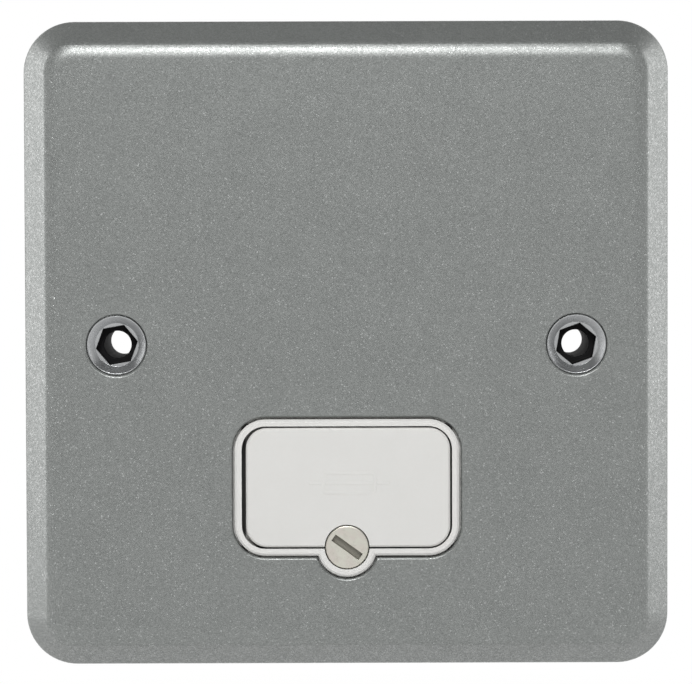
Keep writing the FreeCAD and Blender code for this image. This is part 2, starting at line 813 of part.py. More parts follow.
def fuse_cap(label, side):
    cap = Piece(label)
    middle = f"{side} * (cap_inner_end + fuse_end) / 2"
    end = circle("fuse_depth", "0 - frame_drop", "fuse_diameter / 2")
    cap.pad(cap.sketch("YZ", ("0", "0", middle), end), "cap_length", middle=True)


def fuse_jaw(label, side):
    """A spring clip: a flat base on the link and two arms that flare at the mouth."""
    jaw = Piece(label)
    back, front = "0 - strip_front", "0 - jaw_front"
    knee = "fuse_depth - jaw_throat"
    tip = f"{knee} - jaw_flare_reach"
    inner_bend = "(jaw_bend - jaw_sheet)"
    profile = [
        (tip, "jaw_outer + jaw_flare_rise"),
        (tip, "jaw_inner + jaw_flare_rise"),
        (knee, "jaw_inner"),
        (f"{front} - {inner_bend}", "jaw_inner"),
        (front, f"jaw_inner - {inner_bend}", inner_bend, "right"),
        (front, f"{inner_bend} - jaw_inner"),
        (f"{front} - {inner_bend}", "0 - jaw_inner", inner_bend, "right"),
        (knee, "0 - jaw_inner"),
        (tip, "0 - jaw_inner - jaw_flare_rise"),
        (tip, "0 - jaw_outer - jaw_flare_rise"),
        (knee, "0 - jaw_outer"),
        (f"{back} - jaw_bend", "0 - jaw_outer"),
        (back, "jaw_bend - jaw_outer", "jaw_bend", "left"),
        (back, "jaw_outer - jaw_bend"),
        (f"{back} - jaw_bend", "jaw_outer", "jaw_bend", "left"),
        (knee, "jaw_outer"),
    ]
    place = ("0", "0 - frame_drop", f"{side} * jaw_x")
    jaw.pad(jaw.sketch("YZ", place, profile), "jaw_width", middle=True)


# Links. Each is a flat strip that its terminal blocks stand on, with a jaw welded to a live one.


def flat_link(label, outline):
    link = Piece(label)
    link.pad(link.sketch("XZ", ("0", "0", "split_level"), outline), "strip_thick")
    return link


def supply_live_link():
    left = "0 - line_column - block_width / 2"
    run_left, run_right = "strip_up_x - strip_width / 2", "strip_up_x + strip_width / 2"
    low, high = "0 - frame_drop - jaw_width / 2", "0 - frame_drop + jaw_width / 2"
    outline = [
        (left, "upper_row - block_length / 2"),
        (run_left, "upper_row - block_length / 2"),
        (run_left, low),
        ("0 - jaw_x + jaw_width / 2", low),
        ("0 - jaw_x + jaw_width / 2", high),
        (run_right, high),
        (run_right, "upper_row + block_length / 2"),
        (left, "upper_row + block_length / 2"),
    ]
    flat_link("supply_live_link", outline)


def load_live_link():
    low, high = "0 - frame_drop - strip_width / 2", "0 - frame_drop + strip_width / 2"
    lane_top = "0 - frame_drop - jaw_width / 2 - link_gap"
    lane_low = f"{lane_top} - strip_width"
    outline = [
        ("jaw_x + jaw_width / 2", low),
        ("jaw_x + jaw_width / 2", high),
        ("crossing_x", high),
        ("crossing_x", lane_top),
        ("0 - load_column + block_width / 2", lane_top),
        ("0 - load_column + block_width / 2", "block_length / 2 - lower_row"),
        ("0 - load_column - block_width / 2", "block_length / 2 - lower_row"),
        ("0 - load_column - block_width / 2", "0 - block_length / 2 - lower_row"),
        ("0 - load_column + block_width / 2", "0 - block_length / 2 - lower_row"),
        ("0 - load_column + block_width / 2", lane_low),
        ("crossing_x + strip_width", lane_low),
        ("crossing_x + strip_width", low),
    ]
    flat_link("load_live_link", outline)


def neutral_link():
    run_left, run_right = "0 - strip_up_x - strip_width / 2", "strip_width / 2 - strip_up_x"
    foot_top = "block_length / 2 - lower_row"
    outline = [
        ("line_column + block_width / 2", "upper_row - block_length / 2"),
        ("line_column + block_width / 2", "upper_row + block_length / 2"),
        (run_left, "upper_row + block_length / 2"),
        (run_left, f"{foot_top} - strip_width"),
        ("load_column - block_width / 2", f"{foot_top} - strip_width"),
        ("load_column - block_width / 2", "0 - block_length / 2 - lower_row"),
        ("load_column + block_width / 2", "0 - block_length / 2 - lower_row"),
        ("load_column + block_width / 2", foot_top),
        (run_right, foot_top),
        (run_right, "upper_row - block_length / 2"),
    ]
    flat_link("neutral_link", outline)


def earth_strap():
    """A bar under both earth blocks, with a leg that is folded twice and lies on the plate."""
    reach = "2 * (earth_column + block_width / 2)"
    bar = box("0", "upper_row", reach, "block_length")
    strap = flat_link("earth_strap", bar)
    low = "upper_row - block_length / 2"
    thick, bend = "strip_thick", "strip_bend"
    inner = f"({bend} - {thick})"
    plate, back = "0 - inside_level", "split_depth"
    profile = [
        (back, f"{low} + {bend}"),
        (f"{back} - {thick}", f"{low} + {bend}"),
        (f"{back} - {thick}", f"{low} + {inner}"),
        (f"{back} - {bend}", low, inner, "right"),
        (plate, low),
        (plate, f"{low} - strap_foot"),
        (f"{plate} + {thick}", f"{low} - strap_foot"),
        (f"{plate} + {thick}", f"{low} - {thick}"),
        (f"{back} - {bend}", f"{low} - {thick}"),
        (back, f"{low} + {inner}", bend, "left"),
    ]
    strap.pad(strap.sketch("YZ", ("0", "0", "0"), profile), "strap_width", middle=True)


# Carrier screw, the ring that keeps it on the carrier, and its insert


def carrier_screw():
    screw = Piece("carrier_screw")
    head, neck = "screw_head_diameter / 2", "screw_neck_diameter / 2"
    groove, thread = "screw_groove_diameter / 2", "screw_thread_diameter / 2"
    profile = [
        ("0", "0 - screw_head_front"),
        (f"{head} - screw_head_edge", "0 - screw_head_front"),
        (head, "screw_head_edge - screw_head_front"),
        (head, "0 - screw_head_back"),
        (neck, "0 - screw_head_back"),
        (neck, "0 - ring_front - ring_fit"),
        (groove, "0 - ring_front - ring_fit"),
        (groove, "ring_fit - ring_back"),
        (thread, "ring_fit - ring_back"),
        (thread, "0 - thread_back"),
        ("0", "0 - thread_back"),
    ]
    screw.revolve(screw.sketch("XY", ("0", "0", "screw_z"), profile))
    slot = turned_box(
        "0", "screw_z", "screw_slot_length", "screw_slot_width", "screw_slot_turn"
    )
    front = ("0", "0", "screw_head_front")
    screw.pocket(screw.sketch("XZ", front, slot), "screw_slot_depth")


def screw_retaining_ring():
    ring = Piece("screw_retaining_ring")
    front = ("0", "0", "ring_front")
    outer = circle("0", "screw_z", "ring_diameter / 2")
    inner = circle("0", "screw_z", "screw_groove_diameter / 2 + ring_fit")
    ring.pad(ring.sketch("XZ", front, outer, inner), "ring_thick", back=True)
    slit = box("0", "screw_z - ring_diameter / 2", "ring_slit", "ring_diameter")
    ring.pocket(ring.sketch("XZ", front, slit), "ring_thick")


def screw_insert():
    insert = Piece("screw_insert")
    front = ("0", "0", "insert_front")
    outline = hexagon("0", "screw_z", "insert_across / 2 / cos(30)", "30")
    thread = circle("0", "screw_z", "screw_thread_diameter / 2 + screw_fit")
    insert.pad(insert.sketch("XZ", front, outline, thread), "insert_length", back=True)


front_plate()
plate_bosses()
for hand, side_sign in (("left", -1), ("right", 1)):
    fixing_cup(f"{hand}_fixing_cup", side_sign, f"{hand}_hex_turn")
    fixing_bush(f"{hand}_fixing_bush", side_sign, f"{hand}_hex_turn")
    fuse_cap(f"{hand}_fuse_cap", side_sign)
    fuse_jaw(f"{hand}_fuse_jaw", side_sign)
for terminal, (column, row_z, _) in TERMINALS.items():
    terminal_block(f"{terminal}_terminal", column, row_z)
    terminal_screw(f"{terminal}_screw", column, row_z)
base_moulding()
rear_cover()
base_screws()
fuse_carrier()
fuse_tube()
supply_live_link()
load_live_link()
neutral_link()
earth_strap()
carrier_screw()
screw_retaining_ring()
screw_insert()

# Every object has to be whole before anything is written.
doc.recompute()
for item in doc.Objects:
    if {"Invalid", "Error"} & set(item.State):
        raise ValueError(f"{item.Name} is {item.State}")
for piece in pieces:
    if piece.body.Shape.isNull() or not piece.body.Shape.isValid():
        raise ValueError(f"{piece.body.Label} has no valid shape")

os.makedirs("parts", exist_ok=True)
for piece in pieces:
    label, shape = piece.body.Label, piece.body.Shape
    shape.exportStep(os.path.join("parts", f"{label}.step"))
    print(f"{label}: {len(shape.Solids)} solid, {shape.Volume:.1f} mm3")
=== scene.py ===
# %% [markdown]
# A fused spur unit is a small metal plate on a wiring box, with a pull-out fuse behind a white
# lid. Its solids arrive here at their real size, in metres: +X to the right, +Z up, and the
# front looks along -Y. This lesson gives each of them its finish, and models again, more finely,
# the pieces whose rounded edges and threads catch the light.

import json
import math

import bmesh
import bpy
from mathutils import Euler, Matrix, Vector


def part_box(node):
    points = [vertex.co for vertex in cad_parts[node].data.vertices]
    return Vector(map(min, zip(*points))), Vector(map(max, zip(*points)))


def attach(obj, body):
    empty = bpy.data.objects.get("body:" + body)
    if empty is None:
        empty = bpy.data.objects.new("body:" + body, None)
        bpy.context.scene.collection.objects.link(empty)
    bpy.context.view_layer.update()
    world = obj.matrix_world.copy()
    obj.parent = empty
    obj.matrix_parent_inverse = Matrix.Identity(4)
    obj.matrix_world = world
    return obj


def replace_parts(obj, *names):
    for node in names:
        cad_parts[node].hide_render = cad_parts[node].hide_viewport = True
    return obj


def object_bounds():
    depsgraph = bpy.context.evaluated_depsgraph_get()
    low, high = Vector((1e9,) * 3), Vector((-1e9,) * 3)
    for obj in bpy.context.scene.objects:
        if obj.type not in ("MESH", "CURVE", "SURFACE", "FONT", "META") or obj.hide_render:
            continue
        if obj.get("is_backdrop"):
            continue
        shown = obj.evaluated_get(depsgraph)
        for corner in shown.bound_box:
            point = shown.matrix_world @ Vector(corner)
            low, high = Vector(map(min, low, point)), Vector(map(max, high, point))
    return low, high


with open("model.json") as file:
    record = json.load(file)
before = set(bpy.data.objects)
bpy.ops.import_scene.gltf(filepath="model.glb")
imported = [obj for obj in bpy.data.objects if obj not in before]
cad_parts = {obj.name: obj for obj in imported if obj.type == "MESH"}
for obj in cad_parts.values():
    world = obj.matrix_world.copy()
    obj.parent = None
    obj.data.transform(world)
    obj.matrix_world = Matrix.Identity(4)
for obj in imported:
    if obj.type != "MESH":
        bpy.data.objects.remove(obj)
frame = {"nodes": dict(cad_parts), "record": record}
cad_low, cad_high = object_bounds()
nodes = frame["nodes"]
MM = 0.001
print(len(nodes), "solids,", [round(side / MM, 1) for side in cad_high - cad_low], "mm")

# %% [markdown]
# A finish is easier to read as a sum than as a picture of wires. The class below wraps one
# socket of a node, so that an expression such as 0.3 + 0.1 * grain adds the Math nodes by itself.
# A finish holds the shader, and one method adds any other node to it: the settings come first,
# because they decide which sockets the node has.

# %% Sockets that can be added and multiplied
class Value:
    """One output socket, with the arithmetic that the finishes use."""

    def __init__(self, wiring, socket):
        self.wiring, self.socket = wiring, socket

    def math(self, operation, left, right):
        return self.wiring.node("ShaderNodeMath", {"operation": operation}, {0: left, 1: right})

    def __add__(self, other):
        return self.math("ADD", self, other)

    def __radd__(self, other):
        return self.math("ADD", other, self)

    def __sub__(self, other):
        return self.math("SUBTRACT", self, other)

    def __rsub__(self, other):
        return self.math("SUBTRACT", other, self)

    def __mul__(self, other):
        return self.math("MULTIPLY", self, other)

    def __rmul__(self, other):
        return self.math("MULTIPLY", other, self)

    def above(self, limit):
        return self.math("GREATER_THAN", self, limit)


class Wiring:
    """The nodes of a material or of the world."""

    def __init__(self, holder):
        holder.use_nodes = True
        self.tree = holder.node_tree

    def node(self, kind, settings=None, inputs=None, output=0):
        made = self.tree.nodes.new(kind)
        for name, setting in (settings or {}).items():
            setattr(made, name, setting)
        for name, given in (inputs or {}).items():
            self.feed(made.inputs[name], given)
        return Value(self, made.outputs[output])

    def feed(self, socket, given):
        if isinstance(given, Value):
            self.tree.links.new(given.socket, socket)
        else:
            socket.default_value = given

    def between(self, value, low, high):
        """0 below the low value, 1 above the high one, and a smooth rise in between."""
        given = {"Value": value, "From Min": low, "From Max": high}
        return self.node("ShaderNodeMapRange", {"interpolation_type": "SMOOTHSTEP"}, given)

    def mix(self, factor, first, second):
        """A colour between two colours."""
        first, second = ((*c, 1) if isinstance(c, tuple) else c for c in (first, second))
        given = {"Factor": factor, 6: first, 7: second}
        return self.node("ShaderNodeMix", {"data_type": "RGBA"}, given, 2)


class Finish(Wiring):
    """A procedural material: colours and roughness worked out from the place on the piece."""

    def __init__(self, name, constants):
        self.material = bpy.data.materials.new(name)
        super().__init__(self.material)
        self.shader = self.tree.nodes["Principled BSDF"]
        for socket, value in constants.items():
            self.set(socket, value)
        self.place = self.node("ShaderNodeTexCoord", output="Object")

    def set(self, socket, given):
        self.feed(self.shader.inputs[socket], given)

    def noise(self, size, detail=2.0, stretch=(1, 1, 1)):
        """Soft noise from 0 to 1, whose lumps are about size metres across."""
        multiply = {"operation": "MULTIPLY"}
        place = self.node("ShaderNodeVectorMath", multiply, {0: self.place, 1: stretch})
        given = {"Vector": place, "Scale": 1 / size, "Detail": detail}
        return self.node("ShaderNodeTexNoise", None, given, "Fac")

    def cells(self, size):
        """A random value for each cell, in cells about size metres across."""
        given = {"Vector": self.place, "Scale": 1 / size}
        colour = self.node("ShaderNodeTexVoronoi", None, given, "Color")
        return self.node("ShaderNodeSeparateColor", None, {"Color": colour}, "Red")

    def bump(self, height, depth):
        """Dents and grains: height runs from 0 to 1 over so many metres."""
        given = {"Height": height, "Distance": depth}
        self.set("Normal", self.node("ShaderNodeBump", None, given, "Normal"))


print("a finish can now be written as a sum")

# %% [markdown]
# The plate carries a grey stove paint with aluminium flakes in it. Seen close, the paint is a
# mid grey with tiny specks, some lighter and a few darker, and a faint orange peel where it
# flowed before it set. Flakes near the surface glint, so a highlight breaks up into points. A
# texture image could hold the specks, but they would blur close up. Voronoi cells give each
# flake a brightness of its own at any distance.

# %% Stove paint with metal flake
FLAKE = 0.12 * MM
GLINT = 0.22 * MM
PIT = 0.4 * MM
PEEL, PEEL_DEPTH = 0.9 * MM, 0.012 * MM
CLOUD = 6 * MM
PAINT_DARK = (0.165, 0.174, 0.168)
PAINT_LIGHT = (0.29, 0.303, 0.294)
SPARK_COLOUR = (0.7, 0.72, 0.71)
PIT_COLOUR = (0.09, 0.09, 0.09)


def stove_paint():
    paint = Finish("stove_paint", {"Metallic": 0.4, "Coat Roughness": 0.27})
    flake, pit, cloud = paint.cells(FLAKE), paint.cells(PIT), paint.noise(CLOUD, 3.0)
    spark, glint = flake.above(0.98), paint.cells(GLINT)
    base = paint.mix(0.1 + 0.6 * flake + 0.3 * cloud, PAINT_DARK, PAINT_LIGHT)
    speckled = paint.mix(0.45 * spark, base, SPARK_COLOUR)
    paint.set("Base Color", paint.mix(0.12 * pit.above(0.985), speckled, PIT_COLOUR))
    paint.set("Roughness", 0.31 + 0.08 * flake - 0.12 * spark)
    paint.set("Coat Weight", 0.1 + 1.3 * glint * glint * glint)
    paint.bump(paint.noise(PEEL) + 0.7 * flake, PEEL_DEPTH)
    return paint.material


finishes = {"plate_paint": stove_paint()}
print("made", finishes["plate_paint"].name)

# %% [markdown]
# The bright parts are plated or plain metal. What tells them apart is their colour, how fine
# their turning or rolling marks are, and how dull they have gone. One function makes them all:
# fine noise, stretched along the marks, drives the roughness and a very shallow bump.

# %% Metals
FINE, COARSE = 0.12 * MM, 0.25 * MM
ROLLED = (1, 1, 0.15)
MARK_DEPTH = 0.004 * MM


def metal(name, colour, dull, roughness, marks, stretch=(1, 1, 1)):
    """A metal: its clean colour, its colour where it has dulled, and the size of its marks."""
    finish = Finish(name, {"Metallic": 1.0})
    grain = finish.noise(marks, 3.0, stretch)
    worn = finish.between(finish.noise(12 * marks, 3.0), 0.35, 0.7)
    finish.set("Base Color", finish.mix(0.5 * worn, colour, dull))
    finish.set("Roughness", roughness - 0.08 + 0.16 * grain + 0.06 * worn)
    finish.bump(grain, MARK_DEPTH)
    return finish.material


finishes["plated_cup"] = metal("bright_plating", (0.50, 0.51, 0.515), (0.42, 0.43, 0.435), 0.28, COARSE)
finishes["screw_steel"] = metal("zinc_plating", (0.66, 0.65, 0.60), (0.5, 0.49, 0.44), 0.3, COARSE)
finishes["plain_steel"] = metal("bare_steel", (0.52, 0.52, 0.51), (0.35, 0.34, 0.33), 0.35, COARSE)
finishes["spring_steel"] = metal("oiled_steel", (0.3, 0.3, 0.31), (0.16, 0.16, 0.17), 0.3, FINE)
finishes["brass"] = metal("rolled_brass", (0.80, 0.58, 0.27), (0.55, 0.38, 0.17), 0.28, COARSE, ROLLED)
finishes["spring_brass"] = metal("spring_bronze", (0.76, 0.5, 0.28), (0.5, 0.32, 0.18), 0.3, FINE)
finishes["fuse_metal"] = metal("nickelled_cap", (0.72, 0.70, 0.66), (0.55, 0.53, 0.5), 0.25, FINE)
print("made", len(finishes) - 1, "metals")

# %% [markdown]
# The carrier screw has been turned many times. Its head is mottled, cream in places and pink in
# others, and its slot is darkened for dust and by painted shade. Where a point lies along Y tells
# whether it is in the slot.

# %% Nickel with dust and painted shade in the slot
HEAD_TOP = -6.75 * MM
SLOT_DEPTH = 0.8 * MM
SLOT_FLOOR = HEAD_TOP + SLOT_DEPTH
CREAM, PINK, TARNISH = (0.71, 0.70, 0.62), (0.69, 0.65, 0.59), (0.54, 0.53, 0.46)
PATCH, SPOT, WEAR_DEPTH = 1.6 * MM, 0.5 * MM, 0.006 * MM
# Dust and painted shade: the colour of the slot, and the size of its lumps.
SLOT_DUST_AND_SHADE, DUST_AND_SHADE_LUMP = (0.20, 0.19, 0.155), 0.15 * MM


def old_nickel():
    nickel = Finish("old_nickel", {})
    along = nickel.node("ShaderNodeSeparateXYZ", None, {0: nickel.place}, "Y")
    below_top = nickel.between(along, HEAD_TOP + 0.03 * MM, HEAD_TOP + 0.25 * MM)
    below_floor = nickel.between(along, SLOT_FLOOR + 0.05 * MM, SLOT_FLOOR + 0.25 * MM)
    # Dust and painted shade: 1 from just below the head's top down to the slot's floor.
    dust_and_shade = (below_top - below_floor) * (0.75 + 0.25 * nickel.noise(DUST_AND_SHADE_LUMP))
    patches = nickel.between(nickel.noise(PATCH, 3.0), 0.4, 0.65)
    spots = nickel.between(nickel.noise(SPOT, 4.0), 0.5, 0.75)
    clean = nickel.mix(0.5 * spots, nickel.mix(patches, CREAM, PINK), TARNISH)
    grain = nickel.noise(FINE, 3.0)
    nickel.set("Base Color", nickel.mix(dust_and_shade, clean, SLOT_DUST_AND_SHADE))
    nickel.set("Metallic", 1 - 0.8 * dust_and_shade)
    nickel.set("Roughness", 0.3 + 0.14 * grain + 0.1 * spots)
    nickel.bump(grain + 0.5 * spots, WEAR_DEPTH)
    return nickel.material


finishes["nickel_screw"] = old_nickel()
print("dust between", round(HEAD_TOP / MM, 2), "and", round(SLOT_FLOOR / MM, 2), "mm")

# %% [markdown]
# The mouldings are a hard, heat-proof plastic. A white one is never one flat white: the powder
# it was pressed from leaves a faint mottle, and its skin has a satin sheen with a shallow
# ripple. The black ones are the same with a greyer mottle from handling. The gap round the lid
# shows as a black line because it lies in shade, so that shade is painted darker into the white
# on the seat there. How far a point lies beyond the lid's edge and behind the frame's front says
# whether it is in that gap.

# %% Moulded plastics and ceramic
POWDER, SMUDGE = 0.35 * MM, 4 * MM
RIPPLE, RIPPLE_DEPTH = 0.6 * MM, 0.006 * MM
LID_WIDTH, LID_HEIGHT = 26.8 * MM, 15.7 * MM
FRAME_MIDDLE = -18.75 * MM
FRAME_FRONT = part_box("base_moulding")[0].y
# Painted shade: the colour that the seat round the lid is darkened to.
PAINTED_GAP_SHADE = (0.035, 0.033, 0.03)
# In each of these lines the painted shade fades in over the first range and out over the second.
AT_THE_LID, AT_THE_WALL = (-0.1 * MM, 0), (0.42 * MM, 0.5 * MM)
UNDER_THE_FRONT, UNDER_THE_SEAT = (0.4 * MM, 0.7 * MM), (4.2 * MM, 4.4 * MM)


def painted_shade_in_gap(finish):
    """Where shade is painted: 1 on the seat round the lid and low on the walls there, 0 anywhere else."""
    beyond = []
    for axis, middle, size in (("X", 0, LID_WIDTH), ("Z", FRAME_MIDDLE, LID_HEIGHT)):
        along = finish.node("ShaderNodeSeparateXYZ", None, {0: finish.place}, axis)
        off = finish.node("ShaderNodeMath", {"operation": "ABSOLUTE"}, {0: along - middle})
        beyond.append(off - size / 2)
    edge = beyond[0].math("MAXIMUM", *beyond)
    beside = finish.between(edge, *AT_THE_LID) - finish.between(edge, *AT_THE_WALL)
    deep = finish.node("ShaderNodeSeparateXYZ", None, {0: finish.place}, "Y") - FRAME_FRONT
    below = finish.between(deep, *UNDER_THE_FRONT) - finish.between(deep, *UNDER_THE_SEAT)
    return beside * below


def moulded(name, colour, mottle, roughness, sheen=0.45, painted_shade=None):
    """A moulded skin: its colour, that of its mottle, how dull its sheen is, and its painted shade."""
    finish = Finish(name, {"Specular IOR Level": sheen})
    powder, cloud = finish.noise(POWDER, 4.0), finish.noise(SMUDGE, 3.0)
    clean = finish.mix(0.55 * powder + 0.45 * cloud, colour, mottle)
    # Painted shade goes into the colour here, wherever the mask is given.
    finish.set("Base Color", finish.mix(painted_shade(finish), clean, PAINTED_GAP_SHADE) if painted_shade else clean)
    finish.set("Roughness", roughness - 0.05 + 0.1 * cloud)
    finish.bump(finish.noise(RIPPLE) + 0.4 * powder, RIPPLE_DEPTH)
    return finish.material


# The frame's white carries painted shade in the gap round the lid.
finishes["white_moulding"] = moulded(
    "white_frame_skin", (0.785, 0.78, 0.76), (0.745, 0.74, 0.715), 0.3, painted_shade=painted_shade_in_gap
)
finishes["white_carrier"] = moulded("white_lid_skin", (0.765, 0.76, 0.74), (0.725, 0.72, 0.695), 0.34)
finishes["black_moulding"] = moulded("black_cover_skin", (0.022, 0.022, 0.024), (0.04, 0.04, 0.042), 0.38)
finishes["black_plastic"] = moulded(
    "black_bush_skin", (0.008, 0.008, 0.009), (0.014, 0.014, 0.014), 0.62, sheen=0.06
)
finishes["fuse_ceramic"] = moulded("ceramic_glaze", (0.78, 0.76, 0.70), (0.72, 0.70, 0.63), 0.22)

slot_of = {part["node"]: part["material_slot"] for part in frame["record"]["subparts"]}
for node, solid in nodes.items():
    solid.data.materials.clear()
    solid.data.materials.append(finishes[slot_of[node]])
print(len(nodes), "solids have one of", len(finishes), "finishes")

# %% [markdown]
# A modelled piece takes the place of a solid, so it gets that solid's body, slot and finish.
# Smooth shading on its own would smear light over the flat faces, so edges sharper than an
# angle stay sharp, and weighted normals let the large flat faces keep theirs.

# %% Putting a modelled piece in a solid's place
bodies = frame["record"]["behaviour"]["bodies"]
body_of = {node: body for body, held in bodies.items() for node in held}
SHARP_EDGE = math.radians(35)


def dressed(piece, node):
    """Shade the piece and give it the solid's body, slot and finish."""
    piece.data.shade_smooth()
    piece.data.set_sharp_from_angle(angle=SHARP_EDGE)
    weighted = piece.modifiers.new("flat_faces_lead", "WEIGHTED_NORMAL")
    weighted.keep_sharp = True
    piece.data.materials.clear()
    piece.data.materials.append(finishes[slot_of[node]])
    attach(piece, body_of[node])
    return piece


def stand_for(piece, node):
    """Dress the piece and show it in place of the solid."""
    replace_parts(dressed(piece, node), node)
    return piece


def piece_from(name, shape):
    """An object from a closed shape, with its faces turned outwards."""
    bmesh.ops.recalc_face_normals(shape, faces=shape.faces[:])
    mesh = bpy.data.meshes.new(name)
    shape.to_mesh(mesh)
    shape.free()
    piece = bpy.data.objects.new(name, mesh)
    bpy.context.scene.collection.objects.link(piece)
    return piece


print("bodies:", ", ".join(bodies))

# %% [markdown]
# Most shapes here are rings of points joined to one another: a lathe does that with circles, and
# a press does it with the outline of its die. So three helpers do most of the work: a ring at a
# level in front of the rear rim, the skin between rings, and a flat face with holes in it.

# %% Rings, skins and flat faces
def ring(shape, points, level):
    """A closed ring of corners at one level. A point is its X and Z."""
    return [shape.verts.new((x, -level, z)) for x, z in points]


def skin(shape, rings):
    """A strip of faces between each ring and the next."""
    for first, second in zip(rings, rings[1:]):
        for i, corner in enumerate(first):
            following = (i + 1) % len(first)
            shape.faces.new((corner, first[following], second[following], second[i]))


def flat_face(shape, *rings):
    """A flat face inside the first ring. The other rings are holes in it."""
    sides = [shape.edges.get((r[i - 1], r[i])) for r in rings for i in range(len(r))]
    bmesh.ops.triangle_fill(shape, edges=sides, use_beauty=True)


def arc(centre, radius, start, end, steps):
    """Points on an arc, from one angle to another, in degrees."""
    angles = [math.radians(start + (end - start) * step / steps) for step in range(steps + 1)]
    return [(centre[0] + radius * math.cos(a), centre[1] + radius * math.sin(a)) for a in angles]


def rounded_outline(width, height, corner, centre=(0, 0), steps=16):
    """A rectangle with round corners."""
    across, up = width / 2 - corner, height / 2 - corner
    points = []
    for quarter, (i, j) in enumerate(((1, 1), (-1, 1), (-1, -1), (1, -1))):
        middle = (centre[0] + i * across, centre[1] + j * up)
        points += arc(middle, corner, 90 * quarter, 90 * quarter + 90, steps)
    return points


print("a rounded outline has", len(rounded_outline(2, 1, 0.2)), "points")

# %% [markdown]
# The plate is one sheet, pressed into a shallow tray. Its section runs up the outside of the
# rim, over the lower fold, along the slope, over the upper fold and onto the face. A pressed
# fold is an arc that touches the flats on both sides, and the inside of the sheet follows the
# outside at the sheet's thickness. Bevelling a box would give one radius everywhere. Here the
# upper fold turns tightly off the slope and then runs out softly into the face, which is what
# makes its highlight broad, so the section is drawn from listed points.

# %% The section of the plate
SHEET = 1.2 * MM
SKIRT = 2.1 * MM
FACE = -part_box("front_plate")[0].y
PLATE_SIDE = cad_high.x - cad_low.x
PLATE_CORNER = 6.7 * MM
LOWER_FOLD, UPPER_FOLD, RUN_OUT = 0.9 * MM, 1.4 * MM, 4.4 * MM
INNER_FOLD, INNER_RUN_OUT = 0.3 * MM, 2.6 * MM
RUN_OUT_START = Vector((2.969 * MM, FACE - 0.558 * MM))
RUN_OUT_END = Vector((4.165 * MM, FACE))
FACE_START = Vector((5.4 * MM, FACE))
RIM_EDGE = 0.25 * MM


def folded(path, radii, steps=8):
    """The path with each inner corner rounded to its radius."""
    bent = [path[0]]
    for before, corner, after, radius in zip(path, path[1:], path[2:], radii):
        back, on = (before - corner).normalized(), (after - corner).normalized()
        half = back.angle(on) / 2
        centre = corner + (back + on).normalized() * radius / math.sin(half)
        start = corner + back * radius / math.tan(half) - centre
        turn = start.angle_signed(corner + on * radius / math.tan(half) - centre)
        for step in range(steps + 1):
            bent.append(centre + Matrix.Rotation(-turn * step / steps, 2) @ start)
    return bent + [path[-1]]


def inset(path, distance):
    """The path moved to its right by a distance, with its corners mitred."""
    ways = [(b - a).normalized() for a, b in zip(path, path[1:])]
    sides = [Vector((way.y, -way.x)) for way in ways]
    moved = [path[0] + sides[0] * distance]
    for corner, first, second in zip(path[1:], sides, sides[1:]):
        moved.append(corner + (first + second) * distance / (1 + first.dot(second)))
    return moved + [path[-1] + sides[-1] * distance]


outside = [Vector((0, 0)), Vector((0, SKIRT)), RUN_OUT_START, RUN_OUT_END, FACE_START]
inside = inset(outside, SHEET)
outer_folds = folded(outside, (LOWER_FOLD, UPPER_FOLD, RUN_OUT))
inner_folds = folded(inside, (RIM_EDGE, INNER_FOLD, INNER_RUN_OUT))
rim_points = ((0, RIM_EDGE), (RIM_EDGE, 0), (SHEET - RIM_EDGE, 0), (SHEET, RIM_EDGE))
section = outer_folds[:0:-1] + [Vector(p) for p in rim_points] + inner_folds[1:]
print("the section has", len(section), "points")

# %% [markdown]
# The window in the face is a rounded rectangle joined to a circle that goes round the screw.
# Punching rolls the edge of each hole inwards, and that small roll is the bright line around
# the window in the photograph. Each hole is its outline at several offsets, from the face down
# to the back of the sheet.

# %% The pressed plate
WINDOW_GAP = 0.25 * MM
FRAME_WIDTH, FRAME_HEIGHT, FRAME_CORNER = 29.4 * MM, 17.9 * MM, 4.0 * MM
SCREW_Z = -26.6 * MM
BULGE_RADIUS = 3.9 * MM
BULGE_STEPS, HOLE_STEPS = 24, 64
FIXING_X = 30.15 * MM
CUP_RADIUS = 3.88 * MM
CUP_GAP = 0.06 * MM
WINDOW_ROLL, HOLE_ROLL = 0.4 * MM, 0.45 * MM


def window_outline(offset):
    """The window, or the same shape a little larger."""
    grow = WINDOW_GAP + offset
    width, height = FRAME_WIDTH + 2 * grow, FRAME_HEIGHT + 2 * grow
    box_points = rounded_outline(width, height, FRAME_CORNER + grow, (0, FRAME_MIDDLE))
    radius = BULGE_RADIUS + grow
    dip = math.degrees(math.asin((SCREW_Z - FRAME_MIDDLE + height / 2) / radius))
    bulge = arc((0, SCREW_Z), radius, dip - 180, -dip, BULGE_STEPS)
    three_corners = len(box_points) * 3 // 4
    return box_points[:three_corners] + bulge + box_points[three_corners:]


def hole_outline(side):
    """The hole for a fixing cup, as a function of how much larger it is drawn."""
    def outline(offset):
        return arc((side * FIXING_X, 0), CUP_RADIUS + CUP_GAP + offset, 0, 360, HOLE_STEPS)[:-1]

    return outline


def rolled_hole(shape, outline, roll, steps=6):
    """The wall of a hole. Its first ring lies in the face and its last in the sheet's back."""
    rings = []
    for step in range(steps + 1):
        angle = math.pi / 2 * step / steps
        points = outline(roll * (1 - math.sin(angle)))
        rings.append(ring(shape, points, FACE - roll * (1 - math.cos(angle))))
    rings.append(ring(shape, outline(0), FACE - SHEET))
    skin(shape, rings)
    return rings


